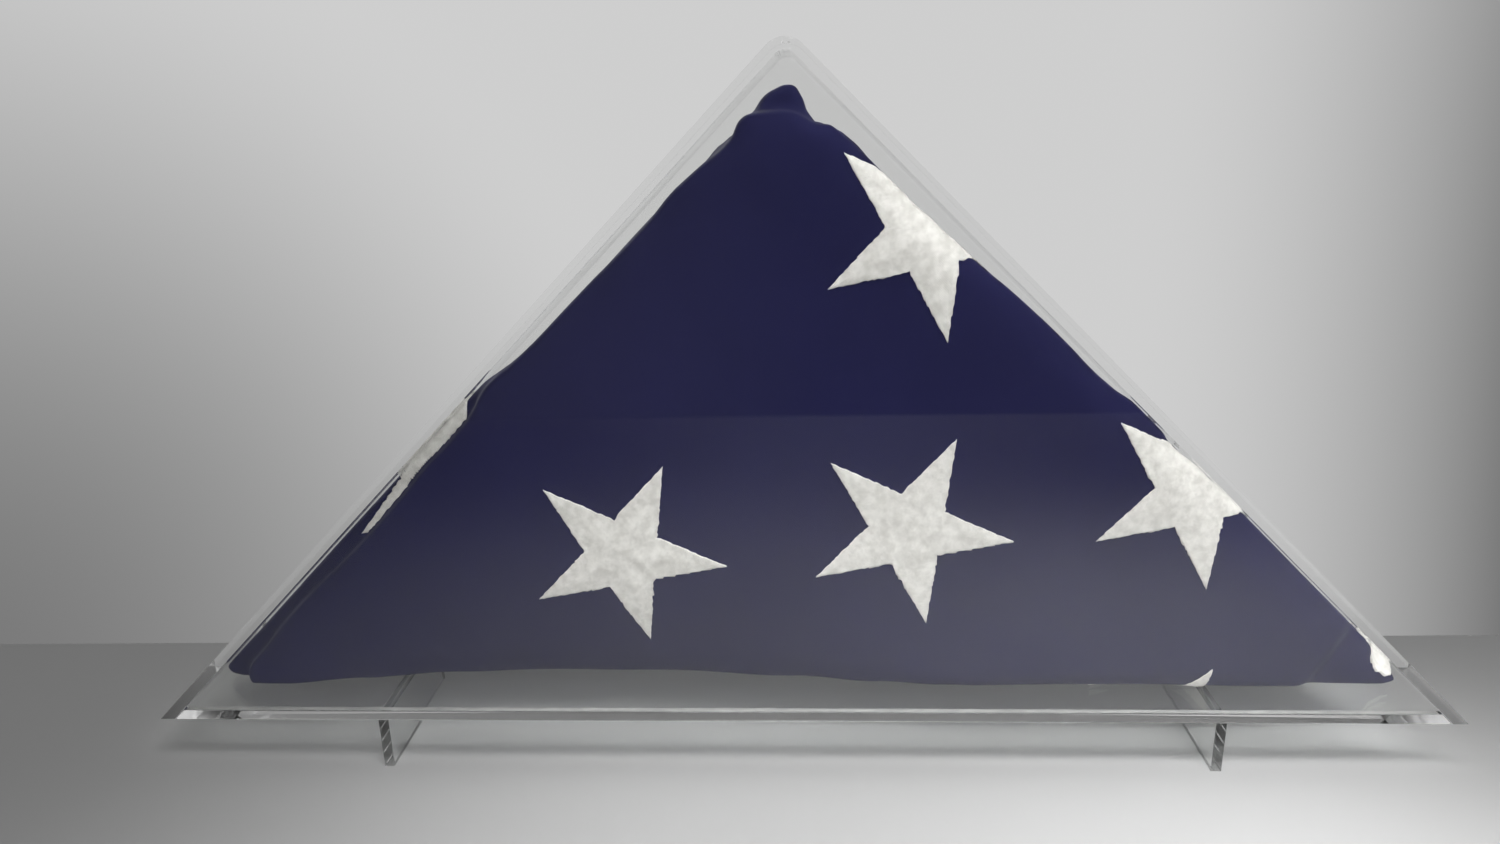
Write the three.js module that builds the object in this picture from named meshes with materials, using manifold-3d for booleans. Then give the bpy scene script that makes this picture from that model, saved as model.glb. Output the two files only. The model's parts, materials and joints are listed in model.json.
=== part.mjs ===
// A clear acrylic display case that holds a flag folded into a triangle and stands on two low feet.
// Millimetres. +X is to the right, +Y towards the removable back, +Z up. The origin is on the table,
// under the middle of the case.
import * as THREE from "three";
import { mergeVertices } from "three/addons/utils/BufferGeometryUtils.js";
import Module from "manifold-3d";

const wasm = await Module();
wasm.setup();

// Case: a strip bent over the top and a base plate make a triangular frame, closed by two panels.
const CASE_WIDTH = 600; // from one lower tip to the other
const CASE_DEPTH = 85.7; // front edge to rear edge of the frame
const SHEET = 4.76; // thickness of the acrylic, 3/16 inch
const BEND_RADIUS = 10; // outside of the bend at the top
const FOOT_HEIGHT = 25.4;
const FOOT_LENGTH = 76.2;
const FOOT_X = 192.5; // middle of the case to the middle of a foot
const BACK_RECESS = 2.5; // rear edge of the frame to the rear face of the removable back

// Fits between pieces.
const JOINT_GAP = 0.3; // a cemented or resting joint
const SLIDE_GAP = 0.5; // round the removable back

// Cleats that the removable back is screwed to.
const CLEAT_LENGTH = 18;
const CLEAT_HEIGHT = 12;
const CLEAT_DEPTH = 12;
const CLEAT_BORE = 1.8; // radius
const LOWER_CLEAT_X = 232;
const UPPER_CLEAT_X = 182; // measured on the outside of the sloping wall

// Screws: small pan heads with a cross recess.
const SHANK_RADIUS = 1.45;
const SHANK_LENGTH = 12;
const HEAD_RADIUS = 2.8;
const HEAD_HEIGHT = 1.9;
const RECESS_LENGTH = 3.2;
const RECESS_WIDTH = 0.7;
const RECESS_DEPTH = 1.1;
const POINT_RATIO = 0.6; // radius of the shank's end to the shank's own
const HEAD_SIDE_RATIO = 0.55; // height of the head's straight side to the whole head's
const CROWN_RATIO = 0.75; // radius where the head's crown flattens, to the head's own
const CROWN_HEIGHT_RATIO = 0.9; // and how high up the head that is
const TURNED_STEPS = 24;

// Flag: distances behind the front of the case, each with how far the outline has drawn in there.
const FLAG_WALL_GAP = 4; // clear of the sloping walls
const FLAG_CORNER_RADIUS = 3;
const FLAG_TOP_RADIUS = 14;
const FLAG_RINGS = [
  [17, 16],
  [19, 9],
  [24, 3],
  [32, 0],
  [54, 0],
  [60, 4],
  [66, 13],
  [70, 20],
  [72.5, 30],
];
const STAR_RADIUS = 47; // centre to tip
const STAR_INNER_RATIO = 0.382; // of a regular five-pointed star
const STAR_TURN = THREE.MathUtils.degToRad(137); // direction of the first tip
const STAR_THICKNESS = 1.2;
const STARS = {
  star_left: [-77, 101],
  star_centre: [52, 113],
  star_right: [177, 130],
  star_upper: [58, 245],
};

// Levels and sizes that follow from those.
const FRONT = -CASE_DEPTH / 2;
const REAR = CASE_DEPTH / 2;
const APEX = FOOT_HEIGHT + CASE_WIDTH / 2; // where the outer faces would meet
const BASE_TOP = FOOT_HEIGHT + SHEET;
const BACK_FRONT_FACE = REAR - BACK_RECESS - SHEET;
const SLOPE = Math.PI / 4; // both walls
const CURVE_STEPS = 10;
const MERGE_DISTANCE = 1e-4; // vertices closer than this are one

function plastic(opacity = 0.3) {
  return new THREE.MeshStandardMaterial({
    color: 0xe6ecea,
    roughness: 0.06,
    metalness: 0,
    transparent: true,
    opacity,
  });
}

function steel() {
  return new THREE.MeshStandardMaterial({ color: 0xb9bcc0, roughness: 0.35, metalness: 1 });
}

function cloth(color) {
  return new THREE.MeshStandardMaterial({ color, roughness: 0.9, metalness: 0 });
}

// Height at which the two sloping faces that lie this far inside the outer ones would meet.
function apexOf(inset) {
  return APEX - inset * Math.SQRT2;
}

// Extrudes an outline drawn in X and Z from one depth to another.
function extrudeDepth(shape, near, far) {
  const settings = { depth: far - near, bevelEnabled: false, curveSegments: CURVE_STEPS };
  const geometry = new THREE.ExtrudeGeometry(shape, settings);
  geometry.rotateX(Math.PI / 2);
  geometry.translate(0, far, 0);
  return geometry;
}

function toSolid(geometry) {
  const bare = geometry.index ? geometry.toNonIndexed() : geometry.clone();
  bare.deleteAttribute("normal");
  bare.deleteAttribute("uv");
  const merged = mergeVertices(bare, MERGE_DISTANCE);
  const vertProperties = merged.attributes.position.array;
  const triVerts = new Uint32Array(merged.index.array);
  return new wasm.Manifold(new wasm.Mesh({ numProp: 3, vertProperties, triVerts }));
}

function toGeometry(solid) {
  const mesh = solid.getMesh();
  const geometry = new THREE.BufferGeometry();
  geometry.setAttribute("position", new THREE.BufferAttribute(mesh.vertProperties, 3));
  geometry.setIndex(new THREE.BufferAttribute(mesh.triVerts, 1));
  geometry.computeVertexNormals();
  return geometry;
}

function piece(name, geometry, material) {
  const mesh = new THREE.Mesh(geometry, material);
  mesh.name = name;
  return mesh;
}

// A triangle with a rounded top whose sloping sides lie inset inside the outer faces of the case.
function panelShape(inset, bottom) {
  const apex = apexOf(inset);
  const radius = BEND_RADIUS - inset;
  const shape = new THREE.Shape();
  shape.moveTo(bottom - apex, bottom);
  shape.lineTo(apex - bottom, bottom);
  shape.absarc(0, apex - radius * Math.SQRT2, radius, SLOPE, Math.PI - SLOPE, false);
  shape.closePath();
  return shape;
}

// Both sloping walls, heat-bent from one strip, with their lower ends cut level.
function sideStrip() {
  const outer = apexOf(0);
  const inner = apexOf(SHEET);
  const centre = outer - BEND_RADIUS * Math.SQRT2;
  const shape = new THREE.Shape();
  shape.moveTo(inner - FOOT_HEIGHT, FOOT_HEIGHT);
  shape.lineTo(outer - FOOT_HEIGHT, FOOT_HEIGHT);
  shape.absarc(0, centre, BEND_RADIUS, SLOPE, Math.PI - SLOPE, false);
  shape.lineTo(FOOT_HEIGHT - outer, FOOT_HEIGHT);
  shape.lineTo(FOOT_HEIGHT - inner, FOOT_HEIGHT);
  shape.absarc(0, centre, BEND_RADIUS - SHEET, Math.PI - SLOPE, SLOPE, true);
  shape.closePath();
  return piece("side_strip", extrudeDepth(shape, FRONT, REAR), plastic());
}

// The plate between the lower ends of the strip, its own ends bevelled to meet them.
function basePlate() {
  const apex = apexOf(SHEET + JOINT_GAP);
  const shape = new THREE.Shape();
  shape.moveTo(FOOT_HEIGHT - apex, FOOT_HEIGHT);
  shape.lineTo(apex - FOOT_HEIGHT, FOOT_HEIGHT);
  shape.lineTo(apex - BASE_TOP, BASE_TOP);
  shape.lineTo(BASE_TOP - apex, BASE_TOP);
  shape.closePath();
  return piece("base_plate", extrudeDepth(shape, FRONT, REAR), plastic());
}

function frontPanel() {
  const shape = panelShape(SHEET + JOINT_GAP, BASE_TOP + JOINT_GAP);
  return piece("front_panel", extrudeDepth(shape, FRONT, FRONT + SHEET), plastic(0.15));
}

function foot(name, x) {
  const height = FOOT_HEIGHT - JOINT_GAP;
  const mesh = piece(name, new THREE.BoxGeometry(SHEET, FOOT_LENGTH, height), plastic());
  mesh.position.set(x, FRONT + FOOT_LENGTH / 2, height / 2);
  return mesh;
}

// Where each cleat's middle is, seen from the front, and how far it is turned.
function cleatPlaces() {
  const rise = JOINT_GAP + CLEAT_HEIGHT / 2;
  const inward = (SHEET + rise) * Math.SQRT1_2;
  const upperX = UPPER_CLEAT_X - inward;
  const upperZ = APEX - UPPER_CLEAT_X - inward;
  return {
    lower_left: { x: -LOWER_CLEAT_X, z: BASE_TOP + rise, turn: 0 },
    lower_right: { x: LOWER_CLEAT_X, z: BASE_TOP + rise, turn: 0 },
    upper_left: { x: -upperX, z: upperZ, turn: -SLOPE },
    upper_right: { x: upperX, z: upperZ, turn: SLOPE },
  };
}

function boreAt(x, z, radius) {
  const path = new THREE.Path();
  path.absarc(x, z, radius, 0, 2 * Math.PI, false);
  return path;
}

function cleat(name, place) {
  const half = CLEAT_LENGTH / 2;
  const rise = CLEAT_HEIGHT / 2;
  const shape = new THREE.Shape();
  shape.moveTo(-half, -rise);
  shape.lineTo(half, -rise);
  shape.lineTo(half, rise);
  shape.lineTo(-half, rise);
  shape.closePath();
  shape.holes.push(boreAt(0, 0, CLEAT_BORE));
  const far = BACK_FRONT_FACE - JOINT_GAP;
  const mesh = piece("cleat_" + name, extrudeDepth(shape, far - CLEAT_DEPTH, far), plastic());
  mesh.rotation.y = place.turn;
  mesh.position.set(place.x, 0, place.z);
  return mesh;
}

function backPanel(places) {
  const shape = panelShape(SHEET + SLIDE_GAP, BASE_TOP + SLIDE_GAP);
  for (const place of places) shape.holes.push(boreAt(place.x, place.z, CLEAT_BORE));
  const geometry = extrudeDepth(shape, BACK_FRONT_FACE, BACK_FRONT_FACE + SHEET);
  return piece("back_panel", geometry, plastic(0.15));
}

function screwGeometry() {
  const points = [
    [0, -SHANK_LENGTH],
    [SHANK_RADIUS * POINT_RATIO, -SHANK_LENGTH],
    [SHANK_RADIUS, -SHANK_LENGTH + SHANK_RADIUS],
    [SHANK_RADIUS, 0],
    [HEAD_RADIUS, 0],
    [HEAD_RADIUS, HEAD_HEIGHT * HEAD_SIDE_RATIO],
    [HEAD_RADIUS * CROWN_RATIO, HEAD_HEIGHT * CROWN_HEIGHT_RATIO],
    [0, HEAD_HEIGHT],
  ];
  const turned = new THREE.LatheGeometry(
    points.map(([radius, along]) => new THREE.Vector2(radius, along)),
    TURNED_STEPS,
  );
  const bars = [
    new THREE.BoxGeometry(RECESS_LENGTH, 2 * RECESS_DEPTH, RECESS_WIDTH),
    new THREE.BoxGeometry(RECESS_WIDTH, 2 * RECESS_DEPTH, RECESS_LENGTH),
  ];
  let solid = toSolid(turned);
  for (const bar of bars) solid = solid.subtract(toSolid(bar.translate(0, HEAD_HEIGHT, 0)));
  return toGeometry(solid);
}

function screw(name, place, geometry) {
  const mesh = piece("screw_" + name, geometry, steel());
  mesh.position.set(place.x, REAR - BACK_RECESS + JOINT_GAP, place.z);
  return mesh;
}

// Points of a corner's arc, from one direction to another.
function cornerArc(x, z, radius, from, to) {
  const points = [];
  for (let step = 0; step <= CURVE_STEPS; step += 1) {
    const angle = from + ((to - from) * step) / CURVE_STEPS;
    points.push([x + radius * Math.cos(angle), z + radius * Math.sin(angle)]);
  }
  return points;
}

// The flag's outline, drawn in by inset: a right-angled triangle with its long side down.
function flagOutline(inset) {
  const apex = apexOf(SHEET + FLAG_WALL_GAP + inset);
  const bottom = BASE_TOP + JOINT_GAP + inset;
  const radius = FLAG_CORNER_RADIUS;
  const cornerX = apex - bottom - radius / Math.tan(SLOPE / 2);
  return [
    ...cornerArc(cornerX, bottom + radius, radius, -Math.PI / 2, SLOPE),
    ...cornerArc(0, apex - FLAG_TOP_RADIUS * Math.SQRT2, FLAG_TOP_RADIUS, SLOPE, Math.PI - SLOPE),
    ...cornerArc(-cornerX, bottom + radius, radius, Math.PI - SLOPE, 1.5 * Math.PI),
  ];
}

// The packet of folded cloth: its outline at each depth, joined from the front to the back.
function flagGeometry() {
  const rings = FLAG_RINGS.map(([depth, inset]) =>
    flagOutline(inset).map(([x, z]) => [x, FRONT + depth, z]),
  );
  const count = rings[0].length;
  const faces = [];
  for (let i = 2; i < count; i += 1) faces.push(0, i - 1, i);
  for (let ring = 1; ring < rings.length; ring += 1) {
    const near = (ring - 1) * count;
    const far = ring * count;
    for (let i = 0; i < count; i += 1) {
      const next = (i + 1) % count;
      faces.push(near + i, far + i, far + next, near + i, far + next, near + next);
    }
  }
  const last = (rings.length - 1) * count;
  for (let i = 2; i < count; i += 1) faces.push(last, last + i, last + i - 1);
  const geometry = new THREE.BufferGeometry();
  geometry.setAttribute("position", new THREE.Float32BufferAttribute(rings.flat(2), 3));
  geometry.setIndex(faces);
  geometry.computeVertexNormals();
  return geometry;
}

function starShape() {
  const shape = new THREE.Shape();
  for (let point = 0; point < 10; point += 1) {
    const radius = point % 2 ? STAR_RADIUS * STAR_INNER_RATIO : STAR_RADIUS;
    const angle = STAR_TURN + (point * Math.PI) / 5;
    const place = [radius * Math.cos(angle), radius * Math.sin(angle)];
    if (point) shape.lineTo(...place);
    else shape.moveTo(...place);
  }
  shape.closePath();
  return shape;
}

// The flat of the flag's front face, which the embroidered stars stay on.
function flagFlat() {
  const [, inset] = FLAG_RINGS[0];
  const shape = new THREE.Shape(flagOutline(inset).map(([x, z]) => new THREE.Vector2(x, z)));
  shape.closePath();
  return toSolid(extrudeDepth(shape, FRONT, REAR));
}

function star(name, [x, z], flat) {
  const far = FRONT + FLAG_RINGS[0][0] - JOINT_GAP;
  const whole = extrudeDepth(starShape(), far - STAR_THICKNESS, far).translate(x, 0, z);
  return piece(name, toGeometry(toSolid(whole).intersect(flat)), cloth(0xe9e6dd));
}

function displayCase() {
  const group = new THREE.Group();
  const places = cleatPlaces();
  const screwShape = screwGeometry();
  const flat = flagFlat();
  group.add(sideStrip(), basePlate(), frontPanel());
  group.add(foot("foot_left", -FOOT_X), foot("foot_right", FOOT_X));
  group.add(backPanel(Object.values(places)));
  for (const [name, place] of Object.entries(places)) {
    group.add(cleat(name, place), screw(name, place, screwShape));
  }
  group.add(piece("folded_flag", flagGeometry(), cloth(0x232a55)));
  for (const [name, place] of Object.entries(STARS)) group.add(star(name, place, flat));
  return group;
}

export default displayCase();
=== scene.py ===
"""The looks of a folded flag display case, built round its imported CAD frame.

Metres. +X is to the right seen from the front, +Y towards the removable back, +Z up. The acrylic pieces and
the screws are the CAD nodes themselves. The folded flag and its embroidered stars are made here.
"""

import json
import math

import bmesh
import bpy
from mathutils import Matrix, Vector, noise
from mathutils.bvhtree import BVHTree

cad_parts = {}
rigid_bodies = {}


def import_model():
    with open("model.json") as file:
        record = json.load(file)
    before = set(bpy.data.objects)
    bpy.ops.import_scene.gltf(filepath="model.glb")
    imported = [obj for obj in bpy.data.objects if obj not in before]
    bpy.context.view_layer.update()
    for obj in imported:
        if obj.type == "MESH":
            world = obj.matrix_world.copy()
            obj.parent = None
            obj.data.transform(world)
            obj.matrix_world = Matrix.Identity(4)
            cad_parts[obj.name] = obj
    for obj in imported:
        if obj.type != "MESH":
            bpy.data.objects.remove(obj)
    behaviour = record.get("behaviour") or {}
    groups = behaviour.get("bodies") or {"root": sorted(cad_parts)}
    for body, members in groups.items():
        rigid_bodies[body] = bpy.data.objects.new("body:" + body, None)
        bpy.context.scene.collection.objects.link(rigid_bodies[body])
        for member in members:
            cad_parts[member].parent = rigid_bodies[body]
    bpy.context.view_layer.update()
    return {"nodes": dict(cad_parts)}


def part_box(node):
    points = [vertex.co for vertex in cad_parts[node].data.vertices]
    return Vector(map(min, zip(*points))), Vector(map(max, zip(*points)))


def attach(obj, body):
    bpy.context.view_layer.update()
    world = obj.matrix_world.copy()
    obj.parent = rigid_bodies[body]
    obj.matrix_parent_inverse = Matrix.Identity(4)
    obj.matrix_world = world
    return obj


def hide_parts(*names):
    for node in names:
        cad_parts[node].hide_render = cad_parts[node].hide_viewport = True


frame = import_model()
NODES = frame["nodes"]
MM = 0.001

# What the frame says.
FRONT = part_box("side_strip")[0].y
BASE_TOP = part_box("base_plate")[1].z
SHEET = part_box("front_panel")[1].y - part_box("front_panel")[0].y
# The height at which the inner faces of the two walls would meet.
WALL_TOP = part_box("side_strip")[1].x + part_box("side_strip")[0].z - SHEET * math.sqrt(2)

# Camera, as the case was seen: place, turn to the left, tilt down, roll.
CAMERA_PLACE = (0.0054, -0.4575, 0.2981)
CAMERA_TURN = math.radians(3.04)
CAMERA_TILT = math.radians(17.18)
CAMERA_ROLL = math.radians(-1.5)
CAMERA_LENS = 24.88  # on a 36 mm sensor

# Flag: six folded layers, front to back, then the puff that the simulation gives them.
LAYERS = 6
LAYER_START = 22 * MM  # behind the front of the case
LAYER_PITCH = 7.6 * MM
LAYER_THICKNESS = 8.2 * MM
LAYER_LOW = 30.5  # lower edge of a layer, in millimetres
LAYER_LIP = 2.4 * MM  # radius of the rounded fold round a layer
BACK_LIP = 3.9 * MM  # the same for the layers behind the first two
VOXEL = 2.2 * MM
PUFF = 3 * MM  # the furthest that a point may move
PUFF_IN_OUTLINE = 0.12  # share of the swelling that widens the outline
REST_GAP = 0.4 * MM  # cloth to acrylic

# Outlines of the two front layers, in millimetres across and up, clockwise from the top.
FRONT_LAYER = [
    (3, 294), (13, 289), (17, 289), (22, 285.5), (35, 273), (48, 260), (65, 244), (81, 230), (100, 214),
    (115, 200), (139, 176), (155, 165.5), (161, 159.5), (165, 152), (180, 138), (197, 122), (228, 90),
    (255, 63), (265.5, 52.5), (267.5, 49), (269, 42), (275, 37), (281, 33), (279, 31), (235, 30.5),
    (144, 30.5), (60, 30.5),
    (-17, 30.5), (-126, 30.5), (-200, 30.5), (-267, 30.5), (-268, 36), (-258, 49), (-234, 75), (-195, 111.5),
    (-178, 129.5), (-167, 142), (-149, 160), (-142, 169), (-137, 178), (-132, 183.5), (-119, 194),
    (-89, 222), (-60, 249), (-47.5, 263), (-40, 269.5), (-32.5, 275.5), (-27, 279.5), (-22, 285),
    (-20, 290), (-17.5, 292.5), (-10, 294),
]
SECOND_LAYER = [
    (-16, 291), (-12.5, 295.5), (-10, 299.5), (-4.5, 303), (1.5, 304.8), (4, 304), (6.2, 300), (8, 297.3),
    (8.3, 294), (10, 292.5), (13, 288), (34, 272), (79, 229), (114, 198), (138, 174.5), (157, 163),
    (167, 149.5), (200, 117.5), (264, 53), (282, 35), (279, 31), (200, 30.5), (0, 30.5), (-200, 30.5),
    (-276, 30.5), (-282, 34), (-281, 38.5), (-266, 53), (-238, 81), (-203.5, 116), (-182, 137),
    (-179, 142), (-175, 146.5), (-168, 152.5), (-141.5, 177.5), (-120, 193), (-87, 223), (-50, 259),
    (-30, 277),
]

# Stars: a regular five-pointed star, its first tip to the upper left.
STAR_RADIUS = 47.5 * MM
STAR_TURN = math.radians(137)
STAR_INNER_RATIO = 0.382


# ---------------------------------------------------------------- helpers


def add_object(name, data):
    obj = bpy.data.objects.new(name, data)
    bpy.context.scene.collection.objects.link(obj)
    return obj


def evaluated_mesh(obj):
    """The mesh that obj's modifiers make, as a mesh of its own."""
    graph = bpy.context.evaluated_depsgraph_get()
    graph.update()
    return bpy.data.meshes.new_from_object(obj.evaluated_get(graph))


def apply_modifiers(obj):
    mesh = evaluated_mesh(obj)
    obj.modifiers.clear()
    obj.data = mesh


def smooth_step(low, high, value):
    share = min(max((value - low) / (high - low), 0), 1)
    return share * share * (3 - 2 * share)


class Shader:
    """A material's node tree, with short calls to add and join nodes."""

    def __init__(self, name):
        self.material = bpy.data.materials.new(name)
        self.material.use_nodes = True
        self.nodes = self.material.node_tree.nodes
        self.links = self.material.node_tree.links
        self.principled = self.nodes["Principled BSDF"]
        self.output = self.nodes["Material Output"]

    def node(self, kind, values=(), **settings):
        made = self.nodes.new(kind)
        for name, value in settings.items():
            setattr(made, name, value)
        for socket, value in dict(values).items():
            if isinstance(value, bpy.types.NodeSocket):
                self.links.new(value, made.inputs[socket])
            else:
                made.inputs[socket].default_value = value
        return made

    def math(self, operation, *values):
        return self.node("ShaderNodeMath", dict(enumerate(values)), operation=operation).outputs[0]

    def mix(self, share, first, second):
        """Two colours mixed by share."""
        values = {0: share, 6: first, 7: second}
        return self.node("ShaderNodeMix", values, data_type="RGBA").outputs[2]

    def set(self, **values):
        """Puts values or links on the Principled node's sockets, whose names have _ for a space."""
        for name, value in values.items():
            socket = self.principled.inputs[name.replace("_", " ")]
            if isinstance(value, bpy.types.NodeSocket):
                self.links.new(value, socket)
            else:
                socket.default_value = value


# ---------------------------------------------------------------- materials


THREAD_PITCH = 0.8 * MM  # of the cloth's weave and of the stars' stitches


def acrylic_material():
    """Clear polished acrylic, with faint smudges and wipe marks in its gloss. Lamps shine through it."""
    shader = Shader("clear_acrylic")
    place = shader.node("ShaderNodeTexCoord").outputs["Object"]
    smudge = shader.node("ShaderNodeTexNoise", {"Vector": place, "Scale": 22, "Detail": 4, "Roughness": 0.6})
    patch = shader.node("ShaderNodeMapRange", {0: smudge.outputs[0], 1: 0.5, 2: 0.8, 3: 0.004, 4: 0.05})
    wipe = shader.node("ShaderNodeTexNoise", {"Vector": place, "Scale": 9, "Detail": 2})
    bump = shader.node("ShaderNodeBump", {"Strength": 0.02, "Distance": 0.002, "Height": wipe.outputs[0]})
    shader.set(Base_Color=(0.985, 0.988, 0.985, 1), IOR=1.49, Transmission_Weight=1.0)
    shader.set(Roughness=patch.outputs[0], Normal=bump.outputs[0])
    lamp_path = shader.node("ShaderNodeLightPath").outputs["Is Shadow Ray"]
    facing = shader.node("ShaderNodeLayerWeight", {"Blend": 0.5}).outputs["Facing"]
    dimmed = shader.mix(facing, (0.95, 0.955, 0.952, 1), (0.5, 0.51, 0.505, 1))
    through = shader.node("ShaderNodeBsdfTransparent", {"Color": dimmed})
    both = shader.node("ShaderNodeMixShader", {0: lamp_path})
    shader.links.new(shader.principled.outputs[0], both.inputs[1])
    shader.links.new(through.outputs[0], both.inputs[2])
    shader.links.new(both.outputs[0], shader.output.inputs["Surface"])
    return shader.material


def steel_material():
    """Satin steel with a fine noise grain in its gloss and in its surface."""
    shader = Shader("screw_steel")
    place = shader.node("ShaderNodeTexCoord").outputs["Object"]
    grain = shader.node("ShaderNodeTexNoise", {"Vector": place, "Scale": 1400, "Detail": 2})
    rough = shader.node("ShaderNodeMapRange", {0: grain.outputs[0], 3: 0.25, 4: 0.42})
    bump = shader.node("ShaderNodeBump", {"Strength": 0.15, "Distance": 0.0002, "Height": grain.outputs[0]})
    shader.set(Base_Color=(0.66, 0.67, 0.69, 1), Metallic=1.0)
    shader.set(Roughness=rough.outputs[0], Normal=bump.outputs[0])
    return shader.material


def weave_height(shader, place, pitch):
    """Threads over and under each other, drawn in X and Z, and in Y round the folds."""
    split = shader.node("ShaderNodeSeparateXYZ", {0: place})
    x, y, z = split.outputs
    rate = 2 * math.pi / pitch
    across = shader.math("SINE", shader.math("MULTIPLY", shader.math("ADD", x, y), rate))
    up = shader.math("SINE", shader.math("MULTIPLY", shader.math("ADD", z, y), rate))
    return shader.math("MULTIPLY", across, up)


def cloth_material():
    """Navy cotton bunting: plain weave, uneven dye, and folds worn a little paler."""
    shader = Shader("flag_cloth")
    place = shader.node("ShaderNodeTexCoord").outputs["Object"]
    weave = weave_height(shader, place, THREAD_PITCH)
    dye = shader.node("ShaderNodeTexNoise", {"Vector": place, "Scale": 16, "Detail": 5, "Roughness": 0.6})
    slub = shader.node("ShaderNodeTexNoise", {"Vector": place, "Scale": 900, "Detail": 2})
    deep = (0.0068, 0.0069, 0.040, 1)
    pale = (0.0112, 0.0113, 0.058, 1)
    tone = shader.mix(dye.outputs[0], deep, pale)
    thread = shader.math("MULTIPLY_ADD", weave, 0.04, shader.math("MULTIPLY", slub.outputs[0], 0.05))
    tone = shader.mix(thread, tone, (0.019, 0.0192, 0.075, 1))
    fold = shader.node("ShaderNodeNewGeometry").outputs["Pointiness"]
    worn = shader.node("ShaderNodeMapRange", {0: fold, 1: 0.53, 2: 0.62, 3: 0.0, 4: 0.12})
    tone = shader.mix(worn.outputs[0], tone, (0.026, 0.027, 0.08, 1))
    height = shader.math("MULTIPLY_ADD", weave, 0.5, shader.math("MULTIPLY", slub.outputs[0], 0.4))
    bump = shader.node("ShaderNodeBump", {"Strength": 0.05, "Distance": 0.0001, "Height": height})
    shader.set(Base_Color=tone, Roughness=0.88, Normal=bump.outputs[0])
    shader.set(Sheen_Weight=0.06, Sheen_Roughness=0.5, Specular_IOR_Level=0.15)
    return shader.material


def thread_material():
    """Off-white satin stitch: threads run out from each ridge, with slightly uneven tone."""
    shader = Shader("star_thread")
    stitch = shader.node("ShaderNodeUVMap", uv_map="stitch")
    along = shader.node("ShaderNodeSeparateXYZ", {0: stitch.outputs[0]})
    place = shader.node("ShaderNodeTexCoord").outputs["Object"]
    wander = shader.node("ShaderNodeTexNoise", {"Vector": place, "Scale": 160, "Detail": 2})
    run = shader.math("MULTIPLY_ADD", wander.outputs[0], 0.9 * MM, along.outputs[0])
    thread = shader.math("SINE", shader.math("MULTIPLY", run, 2 * math.pi / THREAD_PITCH))
    tone = shader.node("ShaderNodeTexNoise", {"Vector": place, "Scale": 220, "Detail": 4, "Roughness": 0.65})
    mottle = shader.node("ShaderNodeMapRange", {0: tone.outputs[0], 1: 0.36, 2: 0.64})
    colour = shader.mix(mottle.outputs[0], (0.62, 0.603, 0.57, 1), (0.82, 0.802, 0.768, 1))
    shade = shader.math("MULTIPLY_ADD", thread, 0.06, 0.06)
    colour = shader.mix(shade, colour, (0.5, 0.48, 0.43, 1))
    height = shader.math("MULTIPLY_ADD", thread, 0.5, wander.outputs[0])
    bump = shader.node("ShaderNodeBump", {"Strength": 0.3, "Distance": 0.0003, "Height": height})
    shader.set(Base_Color=colour, Roughness=0.62, Normal=bump.outputs[0])
    shader.set(Sheen_Weight=0.2, Sheen_Roughness=0.4)
    return shader.material


def floor_material():
    shader = Shader("pale_floor_painted_dim_front")
    place = shader.node("ShaderNodeTexCoord").outputs["Object"]
    tone = shader.node("ShaderNodeTexNoise", {"Vector": place, "Scale": 3, "Detail": 3})
    colour = shader.mix(tone.outputs[0], (0.40, 0.40, 0.40, 1), (0.44, 0.44, 0.44, 1))
    # Painted shade: the floor colour goes dark towards the near edge, standing in for the light falling off
    # towards the front.
    depth = shader.node("ShaderNodeSeparateXYZ", {0: place}).outputs[1]
    near = shader.node("ShaderNodeMapRange", {0: depth, 1: -0.12, 2: -0.5}, interpolation_type="SMOOTHSTEP")
    colour = shader.mix(near.outputs[0], colour, (0.12, 0.12, 0.12, 1))
    shader.set(Base_Color=colour, Roughness=0.5, Specular_IOR_Level=0.2)
    return shader.material


# ---------------------------------------------------------------- stage, light and camera


FLOOR_HALF_WIDTH = 1.6
FLOOR_NEAR = -0.605
FLOOR_FAR = 0.079
FLOOR_SKEW = 0.0125  # how much further back the far edge is, per metre to the right


def make_floor():
    corners = [
        (-FLOOR_HALF_WIDTH, FLOOR_NEAR),
        (FLOOR_HALF_WIDTH, FLOOR_NEAR),
        (FLOOR_HALF_WIDTH, FLOOR_FAR + FLOOR_SKEW * FLOOR_HALF_WIDTH),
        (-FLOOR_HALF_WIDTH, FLOOR_FAR - FLOOR_SKEW * FLOOR_HALF_WIDTH),
    ]
    mesh = bpy.data.meshes.new("floor")
    mesh.from_pydata([(x, y, 0) for x, y in corners], [], [(0, 1, 2, 3)])
    floor = add_object("floor", mesh)
    mesh.materials.append(floor_material())


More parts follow.
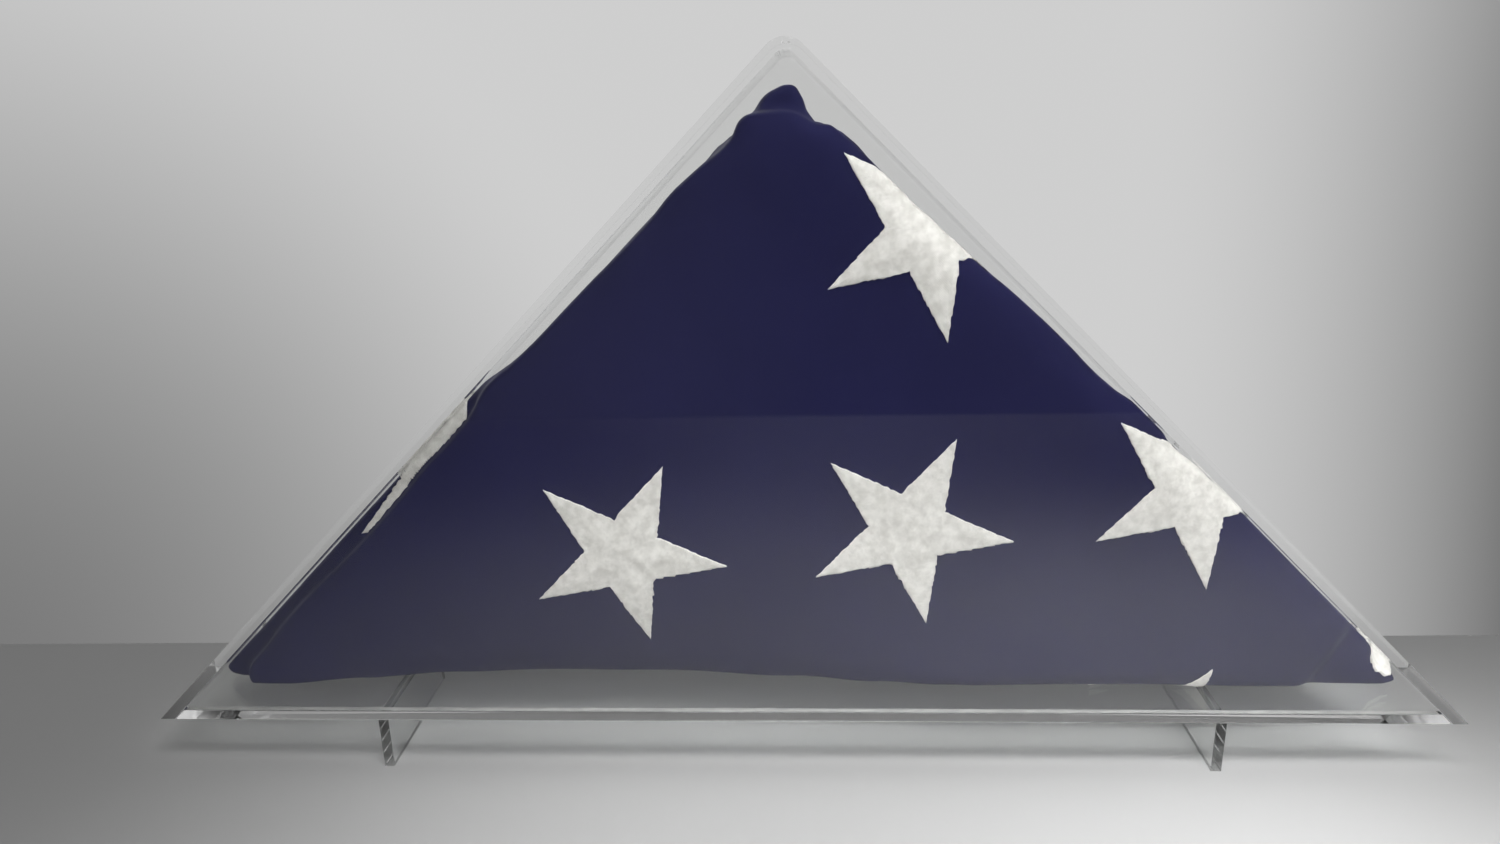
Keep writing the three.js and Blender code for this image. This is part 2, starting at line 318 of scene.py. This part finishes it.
def make_world():
    """Pale and softly uneven behind the case, dim in front of it, as a room with one lit wall."""
    world = bpy.data.worlds.new("studio")
    world.use_nodes = True
    bpy.context.scene.world = world
    tree = world.node_tree
    nodes, links = tree.nodes, tree.links

    def value(operation, *values):
        made = nodes.new("ShaderNodeMath")
        made.operation = operation
        for socket, given in enumerate(values):
            if isinstance(given, bpy.types.NodeSocket):
                links.new(given, made.inputs[socket])
            else:
                made.inputs[socket].default_value = given
        return made.outputs[0]

    def along(direction):
        dot = nodes.new("ShaderNodeVectorMath")
        dot.operation = "DOT_PRODUCT"
        links.new(coordinate.outputs["Generated"], dot.inputs[0])
        dot.inputs[1].default_value = Vector(direction).normalized()
        return dot.outputs["Value"]

    def towards(direction, low, high, dark, bright):
        """Goes from dark to bright as the angle from that direction closes."""
        ramp = nodes.new("ShaderNodeMapRange")
        ramp.interpolation_type = "SMOOTHSTEP"
        links.new(along(direction), ramp.inputs[0])
        for socket, given in enumerate((low, high, dark, bright), start=1):
            ramp.inputs[socket].default_value = given
        return ramp.outputs[0]

    coordinate = nodes.new("ShaderNodeTexCoord")
    wall = towards((-0.67, 0.62, -0.41), 0.78, 1.3, 0.62, -0.51)  # darker to the lower left
    right = value("MAXIMUM", value("MULTIPLY", along((-0.957, 0.29, 0)), -1), 0)
    fade = value("MULTIPLY_ADD", value("POWER", right, 2), -7.8, 1.0)  # and to the far right
    room = towards((0, 1, 0), -0.25, 0.35, 0.14, 1.0)
    overhead = towards((0, 0, 1), 0.2, 0.6, 1.0, 0.2)
    level = value("MULTIPLY", value("MULTIPLY", wall, value("MAXIMUM", fade, 0.3)), room)
    level = value("MULTIPLY", level, overhead)
    links.new(level, nodes["Background"].inputs["Color"])


def add_lamp(name, kind, place, target, power):
    """A lamp at place that shines towards target."""
    light = bpy.data.lights.new(name, kind)
    light.energy = power
    lamp = add_object(name, light)
    lamp.location = place
    lamp.rotation_euler = (Vector(target) - Vector(place)).to_track_quat("-Z", "Y").to_euler()
    return lamp


def add_area_light(name, place, target, size, power):
    lamp = add_lamp(name, "AREA", place, target, power)
    lamp.data.size = size
    return lamp


def light_the_back(flag):
    """A soft light from behind that falls on the flag only, so it leaves the table in front as it is."""
    lamp = add_area_light("rear", (-0.9, 1.5, 1.3), (0, 0.03, 0.12), size=1.0, power=45)
    lit = bpy.data.collections.new("lit_from_behind")
    lit.objects.link(flag)
    lamp.light_linking.receiver_collection = lit


def add_pool_light(name, place, target, angle, power):
    """A soft round pool of light on the table in front of the case."""
    light = add_lamp(name, "SPOT", place, target, power).data
    light.spot_size = math.radians(angle)
    light.spot_blend = 1
    light.shadow_soft_size = 0.1


def make_camera():
    camera = add_object("camera", bpy.data.cameras.new("camera"))
    camera.data.lens = CAMERA_LENS
    camera.data.sensor_width = 36
    turn = Matrix.Rotation(CAMERA_TURN, 4, "Z")
    tilt = Matrix.Rotation(math.pi / 2 - CAMERA_TILT, 4, "X")
    roll = Matrix.Rotation(CAMERA_ROLL, 4, "Z")
    camera.matrix_world = Matrix.Translation(CAMERA_PLACE) @ turn @ tilt @ roll
    bpy.context.scene.camera = camera


def set_light_paths():
    """Plain colours, and enough bounces for light that is caught inside a sheet of acrylic."""
    scene = bpy.context.scene
    scene.view_settings.view_transform = "Standard"
    scene.cycles.max_bounces = 24
    scene.cycles.glossy_bounces = 20
    scene.cycles.transmission_bounces = 24
    scene.cycles.transparent_max_bounces = 32


# ---------------------------------------------------------------- acrylic and screws


def finish_cad_nodes():
    acrylic = acrylic_material()
    steel = steel_material()
    for name, obj in NODES.items():
        is_screw = name.startswith("screw_")
        obj.data.materials.clear()
        obj.data.materials.append(steel if is_screw else acrylic)
        weld = obj.modifiers.new("weld", "WELD")
        weld.merge_threshold = 1e-6
        bevel = obj.modifiers.new("polished_edges", "BEVEL")
        bevel.width = 0.08 * MM if is_screw else 0.35 * MM
        bevel.segments = 2
        bevel.limit_method = "ANGLE"
        bevel.angle_limit = math.radians(40)


CEMENT_STEPS = 160  # rings along the bead
CEMENT_CLEAR_OF_BASE = 0.03 * MM
CEMENT_IN_PANEL = 0.14 * MM  # how far the bead reaches over the panel's lower edge
CEMENT_INSET = 0.25 * MM  # from the panel's faces


def cement_material():
    """Clear cement, milky with fine bubbles."""
    shader = Shader("cement")
    place = shader.node("ShaderNodeTexCoord").outputs["Object"]
    bubbles = shader.node("ShaderNodeTexNoise", {"Vector": place, "Scale": 90, "Detail": 5, "Roughness": 0.7})
    colour = shader.mix(bubbles.outputs[0], (0.12, 0.12, 0.12, 1), (0.42, 0.42, 0.41, 1))
    bump = shader.node("ShaderNodeBump", {"Strength": 0.3, "Distance": 0.0002, "Height": bubbles.outputs[0]})
    shader.set(Base_Color=colour, Roughness=0.45, Normal=bump.outputs[0])
    return shader.material


def make_cement():
    """The bead of cement that joins the front panel to the base plate, a little uneven along its length."""
    low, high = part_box("front_panel")
    section = [(-1, -0.6), (-1, 0.6), (-0.93, 1), (0.93, 1), (1, 0.6), (1, -0.6), (0.93, -1), (-0.93, -1)]
    half_length = high.x - 1.5 * MM
    middle = (low.y + high.y) / 2
    bead = bmesh.new()
    rings = []
    for index in range(CEMENT_STEPS + 1):
        x = half_length * (2 * index / CEMENT_STEPS - 1)
        swell = 1 + 0.35 * noise.noise((x * 70, 0, 0))
        bottom = BASE_TOP + CEMENT_CLEAR_OF_BASE
        half_height = (low.z + CEMENT_IN_PANEL * swell - bottom) / 2
        half_depth = SHEET / 2 - CEMENT_INSET * swell
        ring = [(x, middle + y * half_depth, bottom + (1 + z) * half_height) for y, z in section]
        rings.append([bead.verts.new(place) for place in ring])
    for first, second in zip(rings, rings[1:]):
        for index in range(len(section)):
            other = (index + 1) % len(section)
            bead.faces.new((first[index], first[other], second[other], second[index]))
    bead.faces.new(rings[0])
    bead.faces.new(rings[-1][::-1])
    bmesh.ops.recalc_face_normals(bead, faces=bead.faces)
    mesh = bpy.data.meshes.new("cement_bead")
    bead.to_mesh(mesh)
    bead.free()
    piece = add_object("cement_bead", mesh)
    mesh.materials.append(cement_material())
    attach(piece, "case")


# ---------------------------------------------------------------- folded flag


def back_layer(index):
    """A folded triangle a little smaller than the room in the case, each layer set slightly differently."""
    drift = noise.noise_vector((index * 3.7, 0.3, 0.8)) * 2.2
    gap = 4.5 + abs(drift.x)
    top = WALL_TOP / MM - gap * math.sqrt(2)
    tip = top - LAYER_LOW
    nose = 20 + 5 * drift.z
    points = [(drift.y, top - nose)]
    for side in (1, -1):
        spots = [0.06, 0.2, 0.36, 0.52, 0.68, 0.84, 0.95]
        if side < 0:
            spots.reverse()
        for share in spots:
            x = tip * share
            dent = 1.8 * noise.noise((x * 0.03, index * 1.9, side * 5.0)) + max(0, 5 - 60 * share)
            dent += 4.5 * max(0, 1 - share / 0.4)
            points.append((side * (x - dent), top - x - dent))
        if side > 0:
            points += [(tip - 6, LAYER_LOW + 3), (tip - 10, LAYER_LOW), (0, LAYER_LOW)]
            points += [(10 - tip, LAYER_LOW), (6 - tip, LAYER_LOW + 3)]
    return points


def layer_outlines():
    rest = [back_layer(index) for index in range(2, LAYERS)]
    return [FRONT_LAYER, SECOND_LAYER, *rest]


def make_layer(outline, near, lip):
    """One folded layer: the outline made solid, with a round lip all the way round."""
    curve = bpy.data.curves.new("layer", "CURVE")
    curve.dimensions = "2D"
    curve.fill_mode = "BOTH"
    curve.resolution_u = 5
    curve.bevel_depth = lip
    curve.bevel_resolution = 3
    curve.extrude = LAYER_THICKNESS / 2 - lip
    curve.offset = -lip
    spline = curve.splines.new("BEZIER")
    spline.bezier_points.add(len(outline) - 1)
    spline.use_cyclic_u = True
    for point, (x, z) in zip(spline.bezier_points, outline):
        point.co = (x * MM, z * MM, 0)
        point.handle_left_type = "AUTO"
        point.handle_right_type = "AUTO"
    layer = add_object("layer", curve)
    mesh = evaluated_mesh(layer)
    upright = Matrix.Rotation(math.pi / 2, 4, "X")
    mesh.transform(Matrix.Translation((0, FRONT + near + LAYER_THICKNESS / 2, 0)) @ upright)
    bpy.data.objects.remove(layer)
    return mesh


def joined(name, meshes):
    whole = bmesh.new()
    for mesh in meshes:
        whole.from_mesh(mesh)
    bmesh.ops.remove_doubles(whole, verts=whole.verts, dist=1e-6)
    mesh = bpy.data.meshes.new(name)
    whole.to_mesh(mesh)
    whole.free()
    return add_object(name, mesh)


def tuck_depth(x):
    """How far the lower edge of the front is drawn back under the flag, along the case."""
    depths = [(-290, 0), (-250, 2), (-210, 7), (-166, 13), (-126, 15.5)]
    depths += [(-60, 14), (0, 9), (40, 4), (70, 1), (90, 0)]
    for (left, low), (right, high) in zip(depths, depths[1:]):
        if left <= x / MM < right:
            return (low + (high - low) * smooth_step(left, right, x / MM)) * MM
    return 0.0


def right_of(line_top, line_foot, x, z):
    """How far (x, z) is to the right of a line that is given in millimetres."""
    top, foot = Vector(line_top) * MM, Vector(line_foot) * MM
    line = (top - foot).normalized()
    return (x - foot.x) * line.y - (z - foot.y) * line.x


def crease_depth(x, z):
    """The lower right corner lies a little deeper, past a slanting crease."""
    past = right_of((253, 64), (235, 28), x, z)
    return 3.5 * MM * smooth_step(-1.5 * MM, 4 * MM, past)


def tuck_step(x, z):
    """The end of the cloth is tucked in at the back, where the skin lies deeper past a slanting groove."""
    past = right_of((-120, 175), (60, 31), x, z)
    groove = math.exp(-((past / (3 * MM)) ** 2))
    return 1.5 * MM * smooth_step(0, 4 * MM, past) + 3.5 * MM * groove


TUCK_HEIGHT = 75 * MM  # height at which the drawing back of the lower edge has died out


def shape_packet(obj):
    """Draws the lower edge back, lays the lower right corner in a crease and steps the back at the tuck."""
    reach = LAYERS * LAYER_PITCH
    for vertex in obj.data.vertices:
        place = vertex.co
        depth = (place.y - FRONT - LAYER_START) / reach
        height = (place.z - BASE_TOP) / TUCK_HEIGHT
        keep = max(0.0, 1 - depth) * max(0.0, 1 - height) ** 2
        place.y += tuck_depth(place.x) * keep
        place.y += crease_depth(place.x, place.z) * max(0.0, 1 - depth)
        place.y -= tuck_step(place.x, place.z) * smooth_step(0.8, 1.0, depth)


def puff(obj, pressure, frames):
    """Cloth simulation: the closed skin swells under a little pressure, and no point moves far."""
    rest = [vertex.co.copy() for vertex in obj.data.vertices]
    cloth = obj.modifiers.new("cloth", "CLOTH")
    settings = cloth.settings
    settings.quality = 5
    settings.mass = 0.25
    settings.tension_stiffness = 18
    settings.compression_stiffness = 18
    settings.shear_stiffness = 6
    settings.bending_stiffness = 0.4
    settings.use_pressure = True
    settings.uniform_pressure_force = pressure
    settings.effector_weights.gravity = 0
    cloth.point_cache.frame_start = 1
    cloth.point_cache.frame_end = frames
    scene = bpy.context.scene
    for step in range(1, frames + 1):
        scene.frame_set(step)
    moved = evaluated_mesh(obj)
    obj.modifiers.clear()
    scene.frame_set(1)
    for vertex, start, other in zip(obj.data.vertices, rest, moved.vertices):
        shift = other.co - start
        shift.x *= PUFF_IN_OUTLINE
        shift.z *= PUFF_IN_OUTLINE
        length = shift.length
        if length > 1e-9:
            shift *= PUFF * math.tanh(length / PUFF) / length
        vertex.co = start + shift
    bpy.data.meshes.remove(moved)


def keep_inside(obj):
    """Holds every point clear of the base plate and of both walls."""
    for vertex in obj.data.vertices:
        place = vertex.co
        place.z = max(place.z, BASE_TOP + REST_GAP)
        over = (abs(place.x) + place.z - WALL_TOP) / math.sqrt(2) + REST_GAP
        if over > 0:
            place.z -= over / math.sqrt(2)
            place.x -= math.copysign(over / math.sqrt(2), place.x)


def soften(obj):
    """Slow unevenness of folded cloth."""
    normals = [Vector(item.vector) for item in obj.data.vertex_normals]
    for vertex, normal in zip(obj.data.vertices, normals):
        place = vertex.co
        swell = 0.9 * noise.noise(place * 9) + 0.35 * noise.noise(place * 31)
        vertex.co = place + normal * swell * MM


def make_flag():
    meshes = []
    for index, outline in enumerate(layer_outlines()):
        lip = LAYER_LIP if index < 2 else BACK_LIP
        meshes.append(make_layer(outline, LAYER_START + index * LAYER_PITCH, lip))
    flag = joined("flag_packet", meshes)
    remesh = flag.modifiers.new("remesh", "REMESH")
    remesh.mode = "VOXEL"
    remesh.voxel_size = VOXEL
    apply_modifiers(flag)
    shape_packet(flag)
    puff(flag, pressure=4, frames=12)
    soften(flag)
    keep_inside(flag)
    even = flag.modifiers.new("even", "SMOOTH")
    even.factor = 0.5
    even.iterations = 2
    finer = flag.modifiers.new("finer", "SUBSURF")
    finer.levels = 1
    finer.render_levels = 1
    apply_modifiers(flag)
    flag.data.polygons.foreach_set("use_smooth", [True] * len(flag.data.polygons))
    flag.data.materials.clear()
    flag.data.materials.append(cloth_material())
    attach(flag, "case")
    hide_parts("folded_flag")
    return flag


# ---------------------------------------------------------------- embroidered stars


STAR_GRID = 26  # steps from the centre of a star to its edge
THREAD_EDGE = 0.35 * MM
RIDGE_HEIGHT = 1.0 * MM
PUCKER_HEIGHT = 0.45 * MM
RAGGED_EDGE = 1.2 * MM  # scale of the unevenness of a star's outline
SINK = 0.3 * MM  # how far a star's underside lies in the cloth
STEEPEST = -0.5  # how far the skin still faces the front before a star turns round the fold
SEARCH_STEPS = 30  # most steps back from a fold to the skin beside it
ON_LAYER = 3 * MM  # furthest behind a layer's front that the skin still counts as that layer
OVER_LAYER = 3.6 * MM  # furthest in front of it
CLEAR_OF_BASE = 5 * MM


class Surface:
    """The flag's skin, with a walk along it that lays flat shapes round its folds."""

    def __init__(self, obj):
        self.tree = BVHTree.FromObject(obj, bpy.context.evaluated_depsgraph_get())

    def front_at(self, flat):
        hit, normal, _, _ = self.tree.ray_cast(Vector((flat.x, FRONT, flat.y)), Vector((0, 1, 0)))
        return hit, normal

    def lay(self, anchor, flat, step=1.5 * MM):
        """Where a flat place comes to lie: straight back onto the front, and round the fold past its edge."""
        place, normal = self.front_at(anchor)
        whole = flat - anchor
        count = max(1, math.ceil(whole.length / step))
        for index in range(1, count + 1):
            hit, facing = self.front_at(anchor + whole * (index / count))
            if hit is None or facing.y > STEEPEST or abs(hit.y - place.y) > 3 * step:
                left = whole * ((count - index + 1) / count)
                return self.walk(place, normal, left.x, left.y)
            place, normal = hit, facing
        return place, normal

    def lay_under(self, flat, depth, outward, step=0.5 * MM):
        """Where a flat place comes to lie on an inner layer: level with it where another layer covers it, and
        round its fold past its edge."""
        for index in range(SEARCH_STEPS):
            place, normal = self.front_at(flat - outward * step * index)
            if place is not None and place.y < depth + ON_LAYER:
                break
        else:
            return None
        covered = place.y < depth - OVER_LAYER
        if place.z < BASE_TOP + CLEAR_OF_BASE or index > 0 and covered:
            return None
        if covered:
            return Vector((flat.x, depth, flat.y)), Vector((0, -1, 0))
        past = outward * step * index
        return self.walk(place, normal, past.x, past.y)

    def walk(self, start, normal, across, up, step=2 * MM):
        """Follows the skin from start for (across, up), and gives the place and the normal there."""
        length = math.hypot(across, up)
        if length < 1e-7:
            return start, normal
        heading = Vector((across, 0, up)) / length
        place = start
        count = max(1, math.ceil(length / step))
        for _ in range(count):
            heading = (heading - normal * heading.dot(normal)).normalized()
            place, normal, _, _ = self.tree.find_nearest(place + heading * (length / count))
        return place, normal


def star_points(centre, seed, turn):
    """The flat star as fine triangles. Each point has its place, height and distance along a ridge."""
    points, faces, known = [], [], {}
    for sector in range(10):
        tip_turn = turn + 2 * math.pi / 5 * math.ceil(sector / 2)
        notch_turn = turn + math.pi / 5 * (sector + (1 - sector % 2))
        tip = Vector((math.cos(tip_turn), math.sin(tip_turn))) * STAR_RADIUS
        notch = Vector((math.cos(notch_turn), math.sin(notch_turn))) * STAR_RADIUS * STAR_INNER_RATIO
        grid = {}
        for i in range(STAR_GRID + 1):
            for j in range(STAR_GRID + 1 - i):
                outward, sideways = i / STAR_GRID, j / STAR_GRID
                flat = tip * outward + notch * sideways
                key = (round(flat.x / 1e-6), round(flat.y / 1e-6))
                if key not in known:
                    inner = 1 - outward - sideways
                    height = THREAD_EDGE
                    height += (RIDGE_HEIGHT - THREAD_EDGE) * math.sqrt(max(inner, 0)) * (1 - 0.6 * sideways)
                    pucker = noise.noise((flat.x * 130 + seed, flat.y * 130, seed * 1.7))
                    height += PUCKER_HEIGHT * pucker * min(1, 6 * inner)
                    ragged = Vector((0, 0))
                    if i + j == STAR_GRID and j > 0:
                        jitter = noise.noise((flat.x * 900 + seed, flat.y * 900, 0.5))
                        ragged = flat.normalized() * jitter * RAGGED_EDGE
                    known[key] = len(points)
                    points.append((centre + flat + ragged, height, outward * STAR_RADIUS))
                grid[i, j] = known[key]
        for i in range(STAR_GRID):
            for j in range(STAR_GRID - i):
                faces.append((grid[i, j], grid[i + 1, j], grid[i, j + 1]))
                if i + j < STAR_GRID - 1:
                    faces.append((grid[i + 1, j], grid[i + 1, j + 1], grid[i, j + 1]))
    return points, faces


def make_star(name, surface, thread, centre, anchor=None, outward=None, turn=STAR_TURN, replaces=()):
    """One embroidered star laid on the flag. It starts from anchor, a place on the flag's front, which is the
    star's own centre unless that is past a fold. With outward, the way to the nearest fold, the star lies on
    the second layer."""
    centre = Vector(centre) * MM
    anchor = Vector(anchor) * MM if anchor else centre
    second_layer = FRONT + LAYER_START + LAYER_PITCH
    furthest = second_layer + (LAYER_PITCH if outward else 0)
    points, faces = star_points(centre, len(bpy.data.objects), turn)
    shell = bmesh.new()
    stitch = shell.loops.layers.uv.new("stitch")
    top, under, along = [], [], {}
    for flat, height, run in points:
        if outward:
            laid = surface.lay_under(flat, second_layer, Vector(outward).normalized())
        else:
            laid = surface.lay(anchor, flat)
        # A point that has no place on the cloth goes far behind it, where its faces are dropped.
        place, normal = laid or (Vector((flat.x, furthest + 1, flat.y)), Vector((0, -1, 0)))
        vertex = shell.verts.new(place + normal * height)
        top.append(vertex)
        under.append(place - normal * SINK)
        along[vertex] = (run, 0)
    for corners in faces:
        if max(top[i].co.y for i in corners) > furthest:
            continue
        shell.faces.new([top[i] for i in corners])
    loose = [vertex for vertex in shell.verts if not vertex.link_faces]
    under_of = dict(zip(top, under))
    for vertex in loose:
        del under_of[vertex]
    bmesh.ops.delete(shell, geom=loose, context="VERTS")
    bmesh.ops.recalc_face_normals(shell, faces=shell.faces)
    rim = [edge for edge in shell.edges if edge.is_boundary]
    faces_above = list(shell.faces)
    below = {}
    for vertex, place in under_of.items():
        below[vertex] = shell.verts.new(place)
        along[below[vertex]] = along[vertex]
    for face in faces_above:
        shell.faces.new([below[vertex] for vertex in reversed(face.verts)])
    for edge in rim:
        loop = edge.link_loops[0]
        start, end = loop.vert, loop.link_loop_next.vert
        shell.faces.new((end, start, below[start], below[end]))
    for face in shell.faces:
        face.smooth = True
        for loop in face.loops:
            loop[stitch].uv = along[loop.vert]
    bmesh.ops.recalc_face_normals(shell, faces=shell.faces)
    mesh = bpy.data.meshes.new(name)
    shell.to_mesh(mesh)
    shell.free()
    star = add_object(name, mesh)
    mesh.materials.append(thread)
    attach(star, "case")
    if replaces:
        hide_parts(*replaces)
    return star


def make_stars(flag):
    surface = Surface(flag)
    thread = thread_material()
    make_star("star_left_stitched", surface, thread, (-77, 101), replaces=["star_left"])
    make_star("star_centre_stitched", surface, thread, (52.3, 112.5), replaces=["star_centre"])
    make_star("star_right_stitched", surface, thread, (177, 129.7), replaces=["star_right"])
    make_star("star_upper_stitched", surface, thread, (58, 245), replaces=["star_upper"])
    make_star("star_under_right", surface, thread, (173.3, -0.9), anchor=(173.3, 60))
    turned = STAR_TURN + math.radians(4)
    make_star("star_below_left", surface, thread, (-162, 134.8), outward=(-1, 1), turn=turned)
    make_star("star_below_right", surface, thread, (268, 38), outward=(1, 1))


# ---------------------------------------------------------------- the whole scene


make_camera()
make_world()
make_floor()
add_area_light("key", (1.09, -1.01, 2.23), (0, 0, 0.1), size=0.4, power=19)
add_area_light("fill", (0.2, -2.3, 1.2), (0, 0, 0.15), size=1.2, power=18)
add_pool_light("pool", (0.02, -0.27, 0.6), (0.02, -0.22, 0), angle=66, power=15)
add_pool_light("hot_spot", (0.26, -0.27, 0.55), (0.26, -0.2, 0), angle=48, power=17)
set_light_paths()
finish_cad_nodes()
make_cement()
flag = make_flag()
make_stars(flag)
light_the_back(flag)
